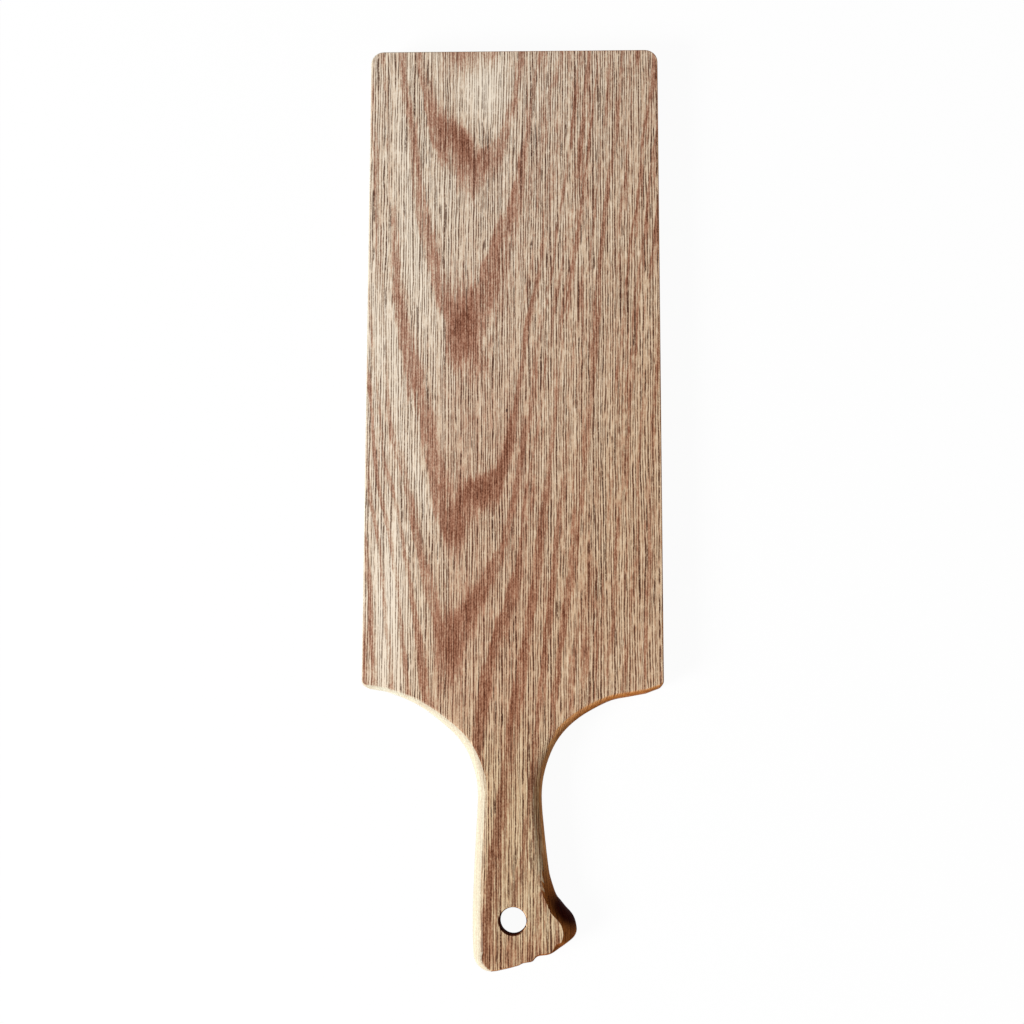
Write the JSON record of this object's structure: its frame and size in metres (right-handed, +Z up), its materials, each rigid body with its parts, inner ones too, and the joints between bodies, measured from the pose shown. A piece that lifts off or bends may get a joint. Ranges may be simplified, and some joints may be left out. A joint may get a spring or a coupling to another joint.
{
  "type": "paddle serving board",
  "caption": "Flat wooden paddle board for serving food, with a long rectangular blade, hollow shoulders and a handle that ends in a side hook and a hang hole.",
  "frame": {"origin": "middle of the board's bounding box, on the lower face that it rests on", "axes": "+Z up out of the serving face, +Y along the board from the handle to the blade's far end, +X across the board to the side of the hook"},
  "size_m": [0.184, 0.577, 0.019],
  "materials": {
    "oak": "red oak, plain sawn, sanded smooth and rubbed with oil, low satin sheen"
  },
  "bodies": {
    "root": {"board": "oak"}
  },
  "joints": []
}
